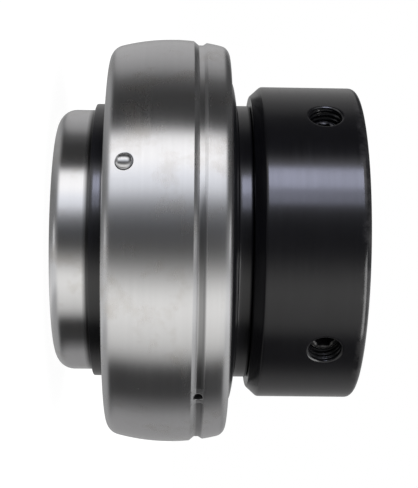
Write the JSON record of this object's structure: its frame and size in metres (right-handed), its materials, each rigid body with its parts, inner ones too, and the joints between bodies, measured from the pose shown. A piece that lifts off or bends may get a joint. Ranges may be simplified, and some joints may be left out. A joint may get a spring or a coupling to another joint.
{
  "type": "insert bearing",
  "caption": "Insert ball bearing with a spherical outer ring, sealed sides and a concentric locking collar with radial set screws.",
  "frame": {"origin": "centre of the inner ring's plain end face, at the bottom of the bearing as it stands on that end", "axes": "+Z is the bearing's axis, from the plain end to the locking collar; the locating pin and both set screws lie on the -Y side"},
  "size_m": [0.072, 0.072, 0.0532],
  "materials": {
    "ground_steel": "ground bearing steel",
    "blackened_steel": "black oxide over turned steel",
    "seal_rubber": "matt moulded rubber",
    "pressed_steel": "plain pressed sheet",
    "polished_steel": "polished ball"
  },
  "bodies": {
    "inner_group": {"inner_ring": "ground_steel", "locking_collar": "blackened_steel", "flinger_collar_side": "blackened_steel", "flinger_plain_side": "blackened_steel"},
    "outer_group": {"outer_ring": "ground_steel", "locating_pin": "ground_steel", "seal_collar_side": "seal_rubber", "seal_plain_side": "seal_rubber"},
    "cage": {"cage_half_collar_side": "pressed_steel", "cage_half_plain_side": "pressed_steel", "rivet_1": "pressed_steel", "rivet_2": "pressed_steel", "rivet_3": "pressed_steel", "rivet_4": "pressed_steel", "rivet_5": "pressed_steel", "rivet_6": "pressed_steel", "rivet_7": "pressed_steel", "rivet_8": "pressed_steel", "rivet_9": "pressed_steel"},
    "ball_1": {"ball_1": "polished_steel"},
    "ball_2": {"ball_2": "polished_steel"},
    "ball_3": {"ball_3": "polished_steel"},
    "ball_4": {"ball_4": "polished_steel"},
    "ball_5": {"ball_5": "polished_steel"},
    "ball_6": {"ball_6": "polished_steel"},
    "ball_7": {"ball_7": "polished_steel"},
    "ball_8": {"ball_8": "polished_steel"},
    "ball_9": {"ball_9": "polished_steel"},
    "set_screw_upper": {"set_screw_upper": "blackened_steel"},
    "set_screw_lower": {"set_screw_lower": "blackened_steel"}
  },
  "joints": [
    {"name": "outer_turn", "type": "hinge", "parent": "inner_group", "child": "outer_group", "pos_m": [0, 0, 0.02025], "axis": [0, 0, 1], "continuous": true},
    {"name": "cage_turn", "type": "hinge", "parent": "inner_group", "child": "cage", "pos_m": [0, 0, 0.02025], "axis": [0, 0, 1], "continuous": true},
    {"name": "ball_1_roll", "type": "hinge", "parent": "cage", "child": "ball_1", "pos_m": [0, -0.02675, 0.02025], "axis": [0, 0, 1], "continuous": true},
    {"name": "ball_2_roll", "type": "hinge", "parent": "cage", "child": "ball_2", "pos_m": [0.01719, -0.02049, 0.02025], "axis": [0, 0, 1], "continuous": true},
    {"name": "ball_3_roll", "type": "hinge", "parent": "cage", "child": "ball_3", "pos_m": [0.02634, -0.00465, 0.02025], "axis": [0, 0, 1], "continuous": true},
    {"name": "ball_4_roll", "type": "hinge", "parent": "cage", "child": "ball_4", "pos_m": [0.02317, 0.01337, 0.02025], "axis": [0, 0, 1], "continuous": true},
    {"name": "ball_5_roll", "type": "hinge", "parent": "cage", "child": "ball_5", "pos_m": [0.00915, 0.02514, 0.02025], "axis": [0, 0, 1], "continuous": true},
    {"name": "ball_6_roll", "type": "hinge", "parent": "cage", "child": "ball_6", "pos_m": [-0.00915, 0.02514, 0.02025], "axis": [0, 0, 1], "continuous": true},
    {"name": "ball_7_roll", "type": "hinge", "parent": "cage", "child": "ball_7", "pos_m": [-0.02317, 0.01337, 0.02025], "axis": [0, 0, 1], "continuous": true},
    {"name": "ball_8_roll", "type": "hinge", "parent": "cage", "child": "ball_8", "pos_m": [-0.02634, -0.00465, 0.02025], "axis": [0, 0, 1], "continuous": true},
    {"name": "ball_9_roll", "type": "hinge", "parent": "cage", "child": "ball_9", "pos_m": [-0.01719, -0.02049, 0.02025], "axis": [0, 0, 1], "continuous": true},
    {"name": "screw_upper_travel", "type": "slide", "parent": "inner_group", "child": "set_screw_upper", "axis": [-0.766, -0.6428, 0], "range_m": [-0.0007, 0.0025]},
    {"name": "screw_lower_travel", "type": "slide", "parent": "inner_group", "child": "set_screw_lower", "axis": [0.6428, -0.766, 0], "range_m": [-0.0007, 0.0025]}
  ],
  "couplings": [
    {"joint": "cage_turn", "follows": "outer_turn", "ratio": 0.60374},
    {"joint": "ball_1_roll", "follows": "outer_turn", "ratio": 2.3062},
    {"joint": "ball_2_roll", "follows": "outer_turn", "ratio": 2.3062},
    {"joint": "ball_3_roll", "follows": "outer_turn", "ratio": 2.3062},
    {"joint": "ball_4_roll", "follows": "outer_turn", "ratio": 2.3062},
    {"joint": "ball_5_roll", "follows": "outer_turn", "ratio": 2.3062},
    {"joint": "ball_6_roll", "follows": "outer_turn", "ratio": 2.3062},
    {"joint": "ball_7_roll", "follows": "outer_turn", "ratio": 2.3062},
    {"joint": "ball_8_roll", "follows": "outer_turn", "ratio": 2.3062},
    {"joint": "ball_9_roll", "follows": "outer_turn", "ratio": 2.3062}
  ]
}
